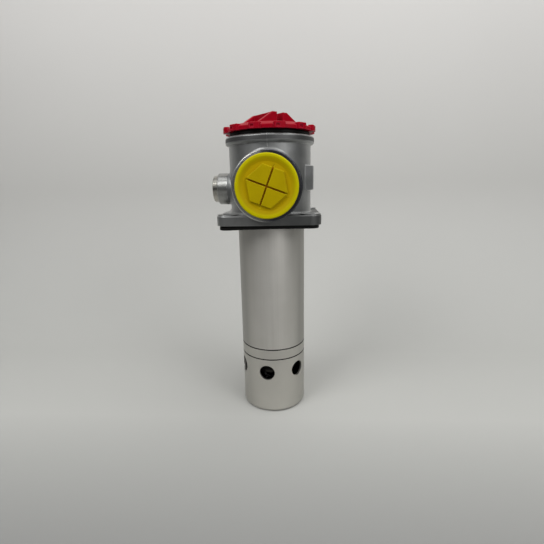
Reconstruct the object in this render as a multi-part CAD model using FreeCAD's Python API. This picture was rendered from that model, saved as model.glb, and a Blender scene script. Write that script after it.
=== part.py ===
import FreeCAD, Part
import math
import os

os.makedirs("parts", exist_ok=True)
V = FreeCAD.Vector

# Suction filter for the top plate of an oil tank, all sizes in millimetres
# The origin is the centre of the mounting face, Z runs up along the tube, the outlet points to -Y

# Clearances, and how far a cut runs past the face that it opens
RUN_FIT = 0.05
SEAT_GAP = 0.05
PAST = 1.0

# Flange and gasket
BOLT_SPACING = 70.7
BOLT_HOLE_R = 4.5
FLANGE_EDGE = 9.65
FLANGE_THICK = 8.5
FLANGE_CORNER_R = 9.5
BOLT_PAD_R = 9.05
BOLT_PAD_RISE = 0.9
GASKET_THICK = 3.0
GASKET_INSET = 2.0
GASKET_CLEAR = 0.6

# Tube, seat ring and cup
TUBE_R = 31.5
TUBE_WALL = 2.5
TUBE_REACH = 117.4
SOCKET_DEPTH = 12.0
TUBE_SEAL_HIGH = 5.0
TUBE_SEAL_TALL = 2.4
TUBE_SEAL_WIDE = 1.8
SEAT_BAND = 10.2
CUP_LENGTH = 56.4
CUP_WALL = 3.0
CUP_FLOOR = 4.0
CUP_EDGE_R = 3.5
CUP_INNER_ROUND = 1.5
JOINT_CHAMFER = 0.6
WINDOW_R = 7.5
WINDOW_COUNT = 6
WINDOW_AZ = -9.6
WINDOW_DROP = 13.9

# Head casting
HEAD_LAND = 5.9
HEAD_WALL = 5.2
HEAD_HEIGHT = 74.8
BEAD_HEIGHT = 6.8
BEAD_OUT = 2.9
BEAD_ROUND = 2.0
BEAD_ROOT = 0.8
SHOULDER_THICK = 2.0
FOOT_ROOT = 2.0
CAST_EDGE = 1.2
PORT_HEIGHT = 32.5
PORT_REACH = 54.0
PORT_BOSS_R = 28.75
PORT_ROOT = 3.0
PORT_EDGE = 0.8
PORT_THREAD_R = 20.95
PORT_THREAD_DEPTH = 20.0
PORT_STEP = 3.0
SENSE_HEIGHT = 30.5
SENSE_REACH = 48.5
SENSE_BOSS_R = 14.4
SENSE_ROOT = 2.0
SENSE_EDGE = 1.0
SENSE_THREAD_R = 9.0
SENSE_THREAD_DEPTH = 12.0
SENSE_HOLE_R = 3.0
PAD_STAND = 1.6
PAD_LENGTH = 41.0
PAD_TALL = 20.6
PAD_HEIGHT = 38.9
PAD_ROOT = 1.5

# Plugs
PLUG_FLANGE_R = 25.7
PLUG_FLANGE_THICK = 2.6
PLUG_RIM = 2.4
PLUG_EDGE = 0.7
PLUG_DISH = 1.3
PLUG_DISH_FLAT = 1.5
PLUG_HEX_R = 17.8
PLUG_HEX_RISE = 1.9
PLUG_HEX_EDGE = 0.5
PLUG_HEX_AZ = -20.8
PLUG_SLOT = 1.6
PLUG_SLOT_DEPTH = 2.2
PLUG_SHANK = 14.0
PLUG_WALL = 2.4
PLUG_LEAD = 1.0
SENSE_COLLAR_R = 12.1
SENSE_COLLAR = 3.1
SENSE_SHANK = 10.0
SENSE_KEY_AF = 8.0
SENSE_KEY_DEPTH = 6.0
WASHER_THICK = 1.3
WASHER_OVER = 0.2
WASHER_CLEAR = 0.4

# Cap
CAP_THREAD_OVER = 0.85
CAP_NECK = 0.7
CAP_NECK_BEVEL = 0.4
CAP_PLUG_DEPTH = 13.3
CAP_LEAD = 0.8
CAP_WALL = 3.5
CAP_RIM_OVER = 3.1
CAP_RIM_THICK = 3.3
CAP_RIM_EDGE = 1.1
CAP_CONE_WIDE = 6.4
CAP_CONE_RISE = 2.6
CAP_DOME = 1.2
CAP_PLATE = 3.4
CAP_BOSS_R = 9.5
CAP_BOSS_TALL = 10.2
CAP_RIB_COUNT = 6
CAP_RIB_WIDE = 2.0
CAP_RIB_TALL = 7.0
CAP_SEAL_TALL = 3.9
CAP_SEAL_WIDE = 3.9
CAP_SEAL_ROUND = 1.2
CAP_SEAL_CLEAR = 0.1
LUG_COUNT = 12
LUG_OUT = 2.2
LUG_WIDE = 10.0
LUG_TALL = 5.1
LUG_DROP = 0.3
LUG_ROUND = 1.6
LUG_EDGE = 0.7
LUG_CLEAR = 0.5
LUG_POCKET = 3.2
LUG_POCKET_TALL = 2.4
LUG_POCKET_DEEP = 0.8
LUG_POCKET_SHIFT = 1.8
LUG_AZ = 15.3
GRIP_SLOT = 6.4
GRIP_WALL = 4.8
GRIP_LONG = 30.6
GRIP_RISE = 9.2
GRIP_FOOT = 26.3
GRIP_GUSSET = 4.0
GRIP_ROOT_DEEP = 2.1
GRIP_EDGE = 0.6
GRIP_AZ = 41.8

# Filter element
ELEMENT_CLEAR = 4.0
JACKET_WALL = 0.6
JACKET_COLUMNS = 8
JACKET_ROWS = 7
JACKET_OPEN_WIDE = 0.62
JACKET_OPEN_TALL = 0.76
JACKET_MARGIN = 2.0
ELEMENT_CAP_WALL = 1.1
ELEMENT_CAP_PLATE = 2.5
ELEMENT_CAP_RIM = 5.5
ELEMENT_CAP_EDGE = 0.5
ELEMENT_GAP = 1.4
PLEAT_COUNT = 32
PLEAT_DEPTH = 7.0
PLEAT_SHEET = 0.5
PLEAT_CLEAR = 0.2
SPIGOT_WALL = 3.4
SPIGOT_CLEAR = 0.1
SPIGOT_LEAD = 0.8
SPIGOT_STAND = 0.6
SPIGOT_SEAL = 2.2
SPIGOT_SEAL_DEEP = 2.0
SPIGOT_SEAL_DROP = 3.1
PUSHER_R = 3.2
ARM_COUNT = 3
ARM_THICK = 2.4
ARM_TALL = 4.0
ARM_AZ = 30.0

# Bypass valve in the top of the element
BYPASS_R = 8.0
BYPASS_LIP = 1.2
BYPASS_LIP_RISE = 0.8
BYPASS_LIFT = 4.0
BYPASS_WIRE = 1.0
BYPASS_COIL_R = 6.0
BYPASS_TURNS = 3.0
POPPET_THICK = 1.6
POPPET_OVER = 1.0
POPPET_STEM_R = 2.0
POPPET_STEM_SHORT = 0.4
CAGE_CLEAR = 1.0
CAGE_WALL = 2.4
CAGE_PLATE = 2.4
CAGE_FOOT = 1.6
CAGE_LEG_COUNT = 3
CAGE_LEG_WIDE = 7.0

# Foot valve below the seat
SEAT_LAND = 10.0
SEAT_DROP = 2.0
SEAT_LIP = 5.6
SEAT_LIP_TAPER = 1.0
SEAT_PLATE = 2.4
SEAT_FLOOR = 2.0
SEAT_SPIGOT = 8.0
SEAT_SPIGOT_WALL = 2.5
SEAT_COLLAR_TALL = 5.0
SEAT_COLLAR_WALL = 3.5
SEAT_COLLAR_LEAD = 1.4
VALVE_STROKE = 10.0
VALVE_SEAL_THICK = 2.5
VALVE_SEAL_LAP = 2.0
VALVE_SEAL_INSET = 0.4
VALVE_PLATE = 3.0
VALVE_PLATE_EDGE = 0.8
VALVE_PLATE_INSET = 0.4
VALVE_HUB_LOW = 0.5
STEM_R = 3.2
STEM_GROOVE = 0.6
STEM_STAND = 3.0
STEM_COLLAR = 2.6
STEM_COLLAR_TALL = 2.0
CLIP_THICK = 1.0
CLIP_OUT = 2.0
CLIP_SLOT = 2.0
GUIDE_WALL = 2.3
GUIDE_TALL = 14.5
GUIDE_FLANGE = 1.5
SPRING_R = 9.5
SPRING_WIRE = 1.8
SPRING_TURNS = 5.0


# Bow of a quarter circle of radius one, for the sides of turned solids
QUARTER = 1 - math.sqrt(0.5)


# Shapes used more than once
def rod(r, z0, z1):
    return Part.makeCylinder(r, z1 - z0, V(0, 0, z0))


def ring(r_out, r_in, z0, z1):
    return rod(r_out, z0, z1).cut(rod(r_in, z0 - PAST, z1 + PAST))


def turned(corners):
    """Solid of revolution. A corner is (r, z), and a third value bows the side that ends there to its left."""
    edges = []
    for k, corner in enumerate(corners):
        r0, z0 = corners[k - 1][:2]
        r1, z1 = corner[:2]
        start, end = V(r0, 0, z0), V(r1, 0, z1)
        if len(corner) == 2:
            edges.append(Part.LineSegment(start, end).toShape())
            continue
        length = math.hypot(r1 - r0, z1 - z0)
        bow = corner[2] / length
        middle = V(0.5 * (r0 + r1) - bow * (z1 - z0), 0, 0.5 * (z0 + z1) + bow * (r1 - r0))
        edges.append(Part.Arc(start, middle, end).toShape())
    face = Part.Face(Part.Wire(Part.__sortEdges__(edges)))
    return face.revolve(V(0, 0, 0), V(0, 0, 1), 360)


def prism(points, z0, z1):
    corners = [V(x, y, z0) for x, y in points]
    return Part.Face(Part.makePolygon(corners + [corners[0]])).extrude(V(0, 0, z1 - z0))


def hexagon(r):
    return [(r * math.cos(math.radians(60 * k)), r * math.sin(math.radians(60 * k))) for k in range(6)]


def around(shape, degrees):
    copy = shape.copy()
    copy.rotate(V(0, 0, 0), V(0, 0, 1), degrees)
    return copy


def repeated(shape, count, first):
    return [around(shape, first + 360.0 * k / count) for k in range(count)]


def joined(shapes):
    whole = shapes[0].fuse(shapes[1:])
    return whole.removeSplitter()


def circles(shape, r, z):
    """The full circles of radius r about Z at the height z."""
    found = []
    for edge in shape.Edges:
        box = edge.BoundBox
        if len(edge.Vertexes) == 1 and abs(box.ZMin - z) + abs(box.ZMax - z) + abs(box.XMax - r) < 0.01:
            found.append(edge)
    return found


def rounded_slab(side, z0, z1, corner):
    slab = Part.makeBox(side, side, z1 - z0, V(-side / 2, -side / 2, z0))
    upright = [e for e in slab.Edges if e.BoundBox.ZLength > 0.5 * (z1 - z0)]
    return slab.makeFillet(corner, upright)


def forward(shape, z):
    """A shape built along +Z from z = 0 is laid along -Y at the height z."""
    copy = shape.copy()
    copy.rotate(V(0, 0, 0), V(1, 0, 0), 90)
    copy.translate(V(0, 0, z))
    return copy


def leftward(shape, z):
    """A shape built along +Z from z = 0 is laid along -X at the height z."""
    return around(forward(shape, z), -90)


def coil(radius, wire, z0, z1, turns):
    """A wound wire of six flats, as much steel as the round one, its ends ground flat at z0 and z1."""
    rise = z1 - z0
    pitch = rise / turns
    start = z0 - 0.25 * pitch
    path = Part.makeHelix(pitch, rise + 0.5 * pitch, radius)
    path.translate(V(0, 0, start))
    flat_r = 0.5 * wire * math.sqrt(2 * math.pi / (3 * math.sqrt(3)))
    corners = []
    for k in range(6):
        a = math.radians(60 * k + 30)
        corners.append(V(radius + flat_r * math.cos(a), 0, start + flat_r * math.sin(a)))
    section = Part.makePolygon(corners + [corners[0]])
    pipe = Part.Wire(path.Edges).makePipeShell([section], True, True)
    return pipe.common(rod(radius + 2 * wire, z0, z1))


def save(shape, node):
    solid = shape.Solids[0] if len(shape.Solids) == 1 else shape
    solid.exportStep("parts/" + node + ".step")


# Levels along the axis
Z_FLANGE = GASKET_THICK
Z_FLANGE_TOP = Z_FLANGE + FLANGE_THICK
Z_TUBE_TOP = Z_FLANGE + SOCKET_DEPTH
Z_SHOULDER = Z_TUBE_TOP + SHOULDER_THICK
Z_LIP = Z_FLANGE + HEAD_HEIGHT
Z_BEAD = Z_LIP - BEAD_HEIGHT
Z_PORT = Z_FLANGE + PORT_HEIGHT
Z_SENSE = Z_FLANGE + SENSE_HEIGHT
Z_PAD = Z_FLANGE + PAD_HEIGHT
Z_RIM = Z_LIP + CAP_SEAL_TALL
Z_RIM_TOP = Z_RIM + CAP_RIM_THICK
Z_CONE = Z_RIM_TOP + CAP_CONE_RISE
Z_DOME = Z_CONE + CAP_DOME
Z_CAP_FLOOR = Z_DOME - CAP_PLATE
Z_BOSS = Z_CAP_FLOOR - CAP_BOSS_TALL
Z_PLUG_END = Z_LIP - CAP_PLUG_DEPTH
Z_SEAT_TOP = -TUBE_REACH
Z_SEAT_LOW = Z_SEAT_TOP - SEAT_BAND
Z_CUP_LOW = Z_SEAT_LOW - CUP_LENGTH
Z_CUP_FLOOR = Z_CUP_LOW + CUP_FLOOR
Z_WINDOW = Z_SEAT_LOW - WINDOW_DROP
Z_SEAT_FACE = Z_SEAT_LOW - SEAT_DROP
Z_COLLAR = Z_SEAT_TOP + SEAT_COLLAR_TALL
Z_SEAL = Z_SEAT_FACE - VALVE_STROKE - SEAT_GAP
Z_DISC_TOP = Z_SEAL - VALVE_HUB_LOW
Z_DISC = Z_SEAL - VALVE_SEAL_THICK
Z_DISC_LOW = Z_DISC - VALVE_PLATE
Z_STEM_LOW = Z_CUP_FLOOR + STEM_STAND
Z_STEM_TOP = Z_DISC_TOP + 2 * CLIP_THICK
Z_GUIDE = Z_CUP_FLOOR + GUIDE_FLANGE

# Radii that follow from the driving sizes
HEAD_R = TUBE_R + HEAD_LAND
CHAMBER_R = HEAD_R - HEAD_WALL
BEAD_R = HEAD_R + BEAD_OUT
TUBE_IN_R = TUBE_R - TUBE_WALL
CUP_IN_R = TUBE_R - CUP_WALL
CAP_PLUG_R = CHAMBER_R + CAP_THREAD_OVER - RUN_FIT
CAP_NECK_R = CAP_PLUG_R - CAP_NECK
CAP_IN_R = CAP_PLUG_R - CAP_WALL
SEAL_IN_R = CAP_NECK_R + CAP_SEAL_CLEAR
SEAL_OUT_R = SEAL_IN_R + CAP_SEAL_WIDE
CAP_RIM_R = SEAL_OUT_R + CAP_RIM_OVER
CAP_CONE_R = CAP_RIM_R - CAP_CONE_WIDE
FLANGE_SIDE = BOLT_SPACING + 2 * FLANGE_EDGE
ELEMENT_R = TUBE_IN_R - ELEMENT_CLEAR
ELEMENT_CAP_R = ELEMENT_R + RUN_FIT + ELEMENT_CAP_WALL
SEAT_BORE_R = TUBE_IN_R - SEAT_LAND
SEAT_LIP_R = SEAT_BORE_R + SEAT_LIP
SPIGOT_R = SEAT_BORE_R - SPIGOT_CLEAR
SPIGOT_IN_R = SPIGOT_R - SPIGOT_WALL
STEM_BORE_R = STEM_R + RUN_FIT
bolt_points = [(sx * BOLT_SPACING / 2, sy * BOLT_SPACING / 2) for sx in (-1, 1) for sy in (-1, 1)]


# Head casting: bead round the lip, flange, and the round root of the body on the flange
inner_r = HEAD_R - HEAD_WALL / 2
bead = turned([(inner_r, Z_BEAD - BEAD_ROOT), (HEAD_R, Z_BEAD - BEAD_ROOT),
               (HEAD_R + BEAD_ROOT, Z_BEAD, QUARTER * BEAD_ROOT), (BEAD_R - BEAD_ROUND, Z_BEAD),
               (BEAD_R, Z_BEAD + BEAD_ROUND, -QUARTER * BEAD_ROUND), (BEAD_R, Z_LIP - BEAD_ROUND),
               (BEAD_R - BEAD_ROUND, Z_LIP, -QUARTER * BEAD_ROUND), (inner_r, Z_LIP)])
flange = rounded_slab(FLANGE_SIDE, Z_FLANGE, Z_FLANGE_TOP, FLANGE_CORNER_R)
flange = flange.makeFillet(CAST_EDGE, [e for e in flange.Edges if e.BoundBox.ZMin > Z_FLANGE_TOP - 0.01])
foot = turned([(inner_r, Z_FLANGE_TOP - PAST), (HEAD_R + FOOT_ROOT, Z_FLANGE_TOP - PAST),
               (HEAD_R + FOOT_ROOT, Z_FLANGE_TOP), (HEAD_R, Z_FLANGE_TOP + FOOT_ROOT, QUARTER * FOOT_ROOT),
               (inner_r, Z_FLANGE_TOP + FOOT_ROOT)])

# Outlet boss, indicator boss and name-plate pad on the body, which reaches past both its ends until it is trimmed
core = rod(HEAD_R, Z_FLANGE - PORT_BOSS_R, Z_LIP + PORT_BOSS_R)
port_boss = Part.makeCylinder(PORT_BOSS_R, PORT_REACH)
core = core.fuse(forward(port_boss, Z_PORT))
front = [e for e in core.Edges if e.BoundBox.YMin > -PORT_REACH + PAST and abs(e.BoundBox.XMax - PORT_BOSS_R) < 0.1]
core = core.makeFillet(PORT_ROOT, front)
sense_boss = Part.makeCylinder(SENSE_BOSS_R, SENSE_REACH)
core = core.fuse(leftward(sense_boss, Z_SENSE))
side = [e for e in core.Edges if e.BoundBox.XMin > -SENSE_REACH + PAST and e.BoundBox.XMax < 0
        and abs(e.BoundBox.YMax - SENSE_BOSS_R) < 0.1 and e.BoundBox.ZLength > SENSE_BOSS_R]
core = core.makeFillet(SENSE_ROOT, side)
pad_reach = HEAD_R + PAD_STAND
pad = Part.makeBox(pad_reach, PAD_LENGTH, PAD_TALL, V(0, -PAD_LENGTH / 2, Z_PAD - PAD_TALL / 2))
core = core.fuse(pad)
pad_low = Z_PAD - 0.5 * PAD_TALL - 0.1
pad_top = Z_PAD + 0.5 * PAD_TALL + 0.1
root = [e for e in core.Edges if 0 < e.BoundBox.XMin and e.BoundBox.XMax < HEAD_R + 0.1
        and pad_low < e.BoundBox.ZMin and e.BoundBox.ZMax < pad_top and abs(e.BoundBox.YMin) < PAD_LENGTH / 2 + 0.1]
core = core.makeFillet(PAD_ROOT, root)
core = core.makeFillet(CAST_EDGE, [e for e in core.Edges if e.BoundBox.XMin > pad_reach - 0.01])
core = core.makeChamfer(PORT_EDGE, [e for e in core.Edges if e.BoundBox.YMax < -PORT_REACH + 0.01])
core = core.makeChamfer(SENSE_EDGE, [e for e in core.Edges if e.BoundBox.XMax < -SENSE_REACH + 0.01])
reach = 2 * (PORT_REACH + SENSE_REACH)
core = core.common(Part.makeBox(reach, reach, HEAD_HEIGHT, V(-reach / 2, -reach / 2, Z_FLANGE)))
head = core.fuse(bead).fuse(flange).fuse(foot)
for x, y in bolt_points:
    bolt_pad = rod(BOLT_PAD_R, Z_FLANGE_TOP - PAST, Z_FLANGE_TOP + BOLT_PAD_RISE)
    bolt_pad.translate(V(x, y, 0))
    head = head.fuse(bolt_pad)

# Head casting: the tube's socket, the chamber, the cap's thread, the ports and the bolt holes
seal_low = Z_FLANGE + TUBE_SEAL_HIGH
seal_top = seal_low + TUBE_SEAL_TALL
head = head.cut(rod(TUBE_R + RUN_FIT, Z_FLANGE - PAST, Z_TUBE_TOP))
head = head.cut(rod(TUBE_R + RUN_FIT + TUBE_SEAL_WIDE + RUN_FIT, seal_low, seal_top))
head = head.cut(rod(TUBE_IN_R, Z_FLANGE - PAST, Z_SHOULDER + PAST))
head = head.cut(rod(CHAMBER_R, Z_SHOULDER, Z_LIP + PAST))
head = head.cut(rod(CAP_PLUG_R + RUN_FIT, Z_PLUG_END - PAST, Z_LIP + PAST))
port_bore = Part.makeCylinder(PORT_THREAD_R, PORT_THREAD_DEPTH + PAST, V(0, 0, PORT_REACH - PORT_THREAD_DEPTH))
port_throat = Part.makeCylinder(PORT_THREAD_R - PORT_STEP, PORT_REACH)
head = head.cut(forward(port_bore.fuse(port_throat), Z_PORT))
sense_low = V(0, 0, SENSE_REACH - SENSE_THREAD_DEPTH)
sense_bore = Part.makeCylinder(SENSE_THREAD_R + RUN_FIT, SENSE_THREAD_DEPTH + PAST, sense_low)
sense_throat = Part.makeCylinder(SENSE_HOLE_R, SENSE_REACH)
head = head.cut(leftward(sense_bore.fuse(sense_throat), Z_SENSE))
for x, y in bolt_points:
    hole = rod(BOLT_HOLE_R, Z_FLANGE - PAST, Z_FLANGE_TOP + BOLT_PAD_RISE + PAST)
    hole.translate(V(x, y, 0))
    head = head.cut(hole)
save(head, "head_casting")

# Flange gasket
gasket = rounded_slab(FLANGE_SIDE - 2 * GASKET_INSET, 0, GASKET_THICK, FLANGE_CORNER_R - GASKET_INSET)
gasket = gasket.cut(rod(TUBE_R + GASKET_CLEAR, -PAST, GASKET_THICK + PAST))
for x, y in bolt_points:
    gasket = gasket.cut(Part.makeCylinder(BOLT_HOLE_R, GASKET_THICK + 2 * PAST, V(x, y, -PAST)))
save(gasket, "flange_gasket")

# Tube with its seal
c = JOINT_CHAMFER
tube = turned([(TUBE_IN_R, Z_SEAT_TOP), (TUBE_R - c, Z_SEAT_TOP), (TUBE_R, Z_SEAT_TOP + c),
               (TUBE_R, Z_TUBE_TOP - c), (TUBE_R - c, Z_TUBE_TOP), (TUBE_IN_R, Z_TUBE_TOP)])
save(tube, "suction_tube")
save(ring(TUBE_R + RUN_FIT + TUBE_SEAL_WIDE, TUBE_R + RUN_FIT, seal_low, seal_top), "tube_seal")

# Valve seat ring, the plain band between the two joint lines
band_r = CUP_IN_R - RUN_FIT
spigot_r = TUBE_IN_R - RUN_FIT
ring_r = spigot_r + RUN_FIT - SEAT_SPIGOT_WALL
collar_r = SEAT_BORE_R + SEAT_COLLAR_WALL
seat = turned([(SEAT_BORE_R, Z_SEAT_FACE), (SEAT_LIP_R, Z_SEAT_FACE),
               (SEAT_LIP_R + SEAT_LIP_TAPER, Z_SEAT_FACE - SEAT_PLATE), (band_r, Z_SEAT_FACE - SEAT_PLATE),
               (band_r, Z_SEAT_LOW), (TUBE_R - c, Z_SEAT_LOW), (TUBE_R, Z_SEAT_LOW + c), (TUBE_R, Z_SEAT_TOP - c),
               (TUBE_R - c, Z_SEAT_TOP), (spigot_r, Z_SEAT_TOP), (spigot_r, Z_SEAT_TOP + SEAT_SPIGOT),
               (ring_r, Z_SEAT_TOP + SEAT_SPIGOT), (ring_r, Z_SEAT_TOP + SEAT_FLOOR),
               (collar_r, Z_SEAT_TOP + SEAT_FLOOR), (collar_r, Z_COLLAR),
               (SEAT_BORE_R + SEAT_COLLAR_LEAD, Z_COLLAR), (SEAT_BORE_R, Z_COLLAR - SEAT_COLLAR_LEAD)])
save(seat, "valve_seat_ring")

# Intake cup with its windows
cup = rod(TUBE_R, Z_CUP_LOW, Z_SEAT_LOW)
cup = cup.makeFillet(CUP_EDGE_R, circles(cup, TUBE_R, Z_CUP_LOW))
cup = cup.makeChamfer(c, circles(cup, TUBE_R, Z_SEAT_LOW))
hollow = rod(CUP_IN_R, Z_CUP_FLOOR, Z_SEAT_LOW + PAST)
hollow = hollow.makeFillet(CUP_INNER_ROUND, circles(hollow, CUP_IN_R, Z_CUP_FLOOR))
cup = cup.cut(hollow)
window = forward(Part.makeCylinder(WINDOW_R, TUBE_R + PAST), Z_WINDOW)
cup = cup.cut(repeated(window, WINDOW_COUNT, WINDOW_AZ))
save(cup, "intake_cup")

# Foot valve: guide, stem, disc, sealing ring, clip and spring
guide = ring(SPRING_R + SPRING_WIRE, STEM_BORE_R, Z_CUP_FLOOR, Z_GUIDE)
guide = joined([guide, ring(STEM_BORE_R + GUIDE_WALL, STEM_BORE_R, Z_CUP_FLOOR, Z_GUIDE + GUIDE_TALL)])
save(guide, "valve_guide")
stem_collar_r = STEM_R + STEM_COLLAR
neck_r = STEM_R - STEM_GROOVE
stem = turned([(0, Z_STEM_LOW), (neck_r, Z_STEM_LOW), (STEM_R, Z_STEM_LOW + STEM_GROOVE),
               (STEM_R, Z_DISC_LOW - STEM_COLLAR_TALL), (stem_collar_r, Z_DISC_LOW - STEM_COLLAR_TALL),
               (stem_collar_r, Z_DISC_LOW), (STEM_R, Z_DISC_LOW), (STEM_R, Z_DISC_TOP), (neck_r, Z_DISC_TOP),
               (neck_r, Z_DISC_TOP + CLIP_THICK), (STEM_R, Z_DISC_TOP + CLIP_THICK), (STEM_R, Z_STEM_TOP),
               (0, Z_STEM_TOP)])
save(stem, "valve_stem")
hub_r = SEAT_BORE_R - VALVE_SEAL_LAP
disc_r = SEAT_LIP_R - VALVE_PLATE_INSET
disc = turned([(STEM_BORE_R, Z_DISC_LOW), (disc_r - VALVE_PLATE_EDGE, Z_DISC_LOW),
               (disc_r, Z_DISC_LOW + VALVE_PLATE_EDGE), (disc_r, Z_DISC), (hub_r, Z_DISC), (hub_r, Z_DISC_TOP),
               (STEM_BORE_R, Z_DISC_TOP)])
save(disc, "valve_disc")
save(ring(disc_r - VALVE_SEAL_INSET, hub_r + RUN_FIT, Z_DISC, Z_SEAL), "valve_seal")
clip = ring(STEM_R + CLIP_OUT, neck_r + RUN_FIT, Z_DISC_TOP, Z_DISC_TOP + CLIP_THICK)
clip = clip.cut(Part.makeBox(CLIP_SLOT, 2 * STEM_R, CLIP_THICK, V(-CLIP_SLOT / 2, 0, Z_DISC_TOP)))
save(clip, "stem_clip")
save(coil(SPRING_R, SPRING_WIRE, Z_GUIDE, Z_DISC_LOW, SPRING_TURNS), "valve_spring")

# Filter element: levels from the seat ring below to the cap's boss above
z_bottom = Z_COLLAR + ELEMENT_GAP
z_pack = z_bottom + ELEMENT_CAP_PLATE
z_cage = Z_BOSS
z_top = z_cage - BYPASS_LIP_RISE - POPPET_THICK - BYPASS_LIFT - 4 * BYPASS_WIRE - CAGE_PLATE
z_pack_top = z_top - ELEMENT_CAP_PLATE
z_spigot = Z_SEAT_FACE + SPIGOT_STAND

# Filter element: bottom cap with the spigot that opens the foot valve, and its sealing ring
groove_low = Z_SEAT_TOP - SPIGOT_SEAL_DROP
groove_r = SPIGOT_R - SPIGOT_SEAL_DEEP
e = ELEMENT_CAP_EDGE
bottom = turned([(SPIGOT_IN_R, z_spigot), (SPIGOT_R - SPIGOT_LEAD, z_spigot), (SPIGOT_R, z_spigot + SPIGOT_LEAD),
                 (SPIGOT_R, groove_low), (groove_r, groove_low), (groove_r, groove_low + SPIGOT_SEAL),
                 (SPIGOT_R, groove_low + SPIGOT_SEAL), (SPIGOT_R, z_bottom), (ELEMENT_CAP_R - e, z_bottom),
                 (ELEMENT_CAP_R, z_bottom + e), (ELEMENT_CAP_R, z_pack + ELEMENT_CAP_RIM),
                 (ELEMENT_R + RUN_FIT, z_pack + ELEMENT_CAP_RIM), (ELEMENT_R + RUN_FIT, z_pack),
                 (SPIGOT_IN_R, z_pack)])
arm = Part.makeBox(SPIGOT_IN_R + SPIGOT_WALL / 4, ARM_THICK, ARM_TALL, V(0, -ARM_THICK / 2, z_spigot))
pusher = rod(PUSHER_R, Z_STEM_TOP, z_spigot + ARM_TALL)
bottom = joined([bottom, pusher] + repeated(arm, ARM_COUNT, ARM_AZ))
save(bottom, "element_bottom_cap")
save(ring(SEAT_BORE_R - 0.4 * RUN_FIT, groove_r + RUN_FIT, groove_low, groove_low + SPIGOT_SEAL), "spigot_seal")

# Filter element: pleated mesh and the windowed jacket round it
pleat_out = ELEMENT_R - JACKET_WALL - PLEAT_CLEAR
zigzag = []
for shift in (0.0, -PLEAT_SHEET):
    loop = []
    for k in range(2 * PLEAT_COUNT):
        r = (pleat_out if k % 2 == 0 else pleat_out - PLEAT_DEPTH) + shift
        a = math.pi * k / PLEAT_COUNT
        loop.append((r * math.cos(a), r * math.sin(a)))
    zigzag.append(prism(loop, z_pack, z_pack_top))
save(zigzag[0].cut(zigzag[1]), "pleated_mesh")

jacket = ring(ELEMENT_R, ELEMENT_R - JACKET_WALL, z_pack, z_pack_top)
clear_low = z_pack + ELEMENT_CAP_RIM + JACKET_MARGIN
row_step = (z_pack_top - ELEMENT_CAP_RIM - JACKET_MARGIN - clear_low) / JACKET_ROWS
open_wide = 2 * math.pi * ELEMENT_R / JACKET_COLUMNS * JACKET_OPEN_WIDE
open_tall = row_step * JACKET_OPEN_TALL
for row in range(JACKET_ROWS):
    hole_low = clear_low + row_step * row + 0.5 * (row_step - open_tall)
    hole = Part.makeBox(open_wide, ELEMENT_R + PAST, open_tall, V(-open_wide / 2, 0, hole_low))
    jacket = jacket.cut(repeated(hole, JACKET_COLUMNS, 180.0 / JACKET_COLUMNS * (row % 2)))
save(jacket, "support_jacket")

# Filter element: top cap with the bypass valve's lip
lip_r = BYPASS_R + BYPASS_LIP
lip_top = z_top + BYPASS_LIP_RISE
z_rim = z_pack_top - ELEMENT_CAP_RIM
top = turned([(BYPASS_R, z_pack_top), (ELEMENT_R + RUN_FIT, z_pack_top), (ELEMENT_R + RUN_FIT, z_rim),
              (ELEMENT_CAP_R, z_rim), (ELEMENT_CAP_R, z_top - e), (ELEMENT_CAP_R - e, z_top),
              (lip_r, z_top), (lip_r, lip_top), (BYPASS_R, lip_top)])
save(top, "element_top_cap")

# Bypass valve: cage, poppet and spring
poppet_r = lip_r + POPPET_OVER
poppet_top = lip_top + POPPET_THICK
cage_in_r = poppet_r + CAGE_CLEAR
cage_r = cage_in_r + CAGE_WALL
foot = ring(cage_r, cage_in_r, z_top, z_top + CAGE_FOOT)
plate = ring(cage_r, POPPET_STEM_R + RUN_FIT, z_cage - CAGE_PLATE, z_cage)
leg = ring(cage_r, cage_in_r, z_top, z_cage)
leg = leg.common(Part.makeBox(CAGE_LEG_WIDE, cage_r, z_cage - z_top, V(-CAGE_LEG_WIDE / 2, 0, z_top)))
cage = joined([foot, plate] + repeated(leg, CAGE_LEG_COUNT, 0))
save(cage, "bypass_cage")
stem_end = z_cage - POPPET_STEM_SHORT
poppet = turned([(0, lip_top), (poppet_r, lip_top), (poppet_r, poppet_top), (POPPET_STEM_R, poppet_top),
                 (POPPET_STEM_R, stem_end), (0, stem_end)])
save(poppet, "bypass_poppet")
save(coil(BYPASS_COIL_R, BYPASS_WIRE, poppet_top, z_cage - CAGE_PLATE, BYPASS_TURNS), "bypass_spring")

# Cap: domed plate with a sloped rim and a hollow threaded plug
edge = CAP_RIM_EDGE
dome_r = (CAP_CONE_R ** 2 + CAP_DOME ** 2) / (2 * CAP_DOME)
dome_bow = dome_r - math.sqrt(dome_r ** 2 - (CAP_CONE_R ** 2 + CAP_DOME ** 2) / 4)
cap = turned([(0, Z_CAP_FLOOR), (0, Z_DOME), (CAP_CONE_R, Z_CONE, dome_bow), (CAP_RIM_R - edge, Z_RIM_TOP),
              (CAP_RIM_R, Z_RIM_TOP - edge, QUARTER * edge), (CAP_RIM_R, Z_RIM), (CAP_NECK_R, Z_RIM),
              (CAP_NECK_R, Z_LIP - CAP_NECK_BEVEL), (CAP_PLUG_R, Z_LIP - CAP_NECK_BEVEL - CAP_NECK),
              (CAP_PLUG_R, Z_PLUG_END + CAP_LEAD), (CAP_PLUG_R - CAP_LEAD, Z_PLUG_END), (CAP_IN_R, Z_PLUG_END),
              (CAP_IN_R, Z_CAP_FLOOR)])
boss = ring(CAP_BOSS_R, POPPET_STEM_R + BYPASS_LIP + CAP_LEAD, Z_BOSS, Z_CAP_FLOOR)
rib_long = CAP_IN_R - CAP_BOSS_R + PAST
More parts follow.
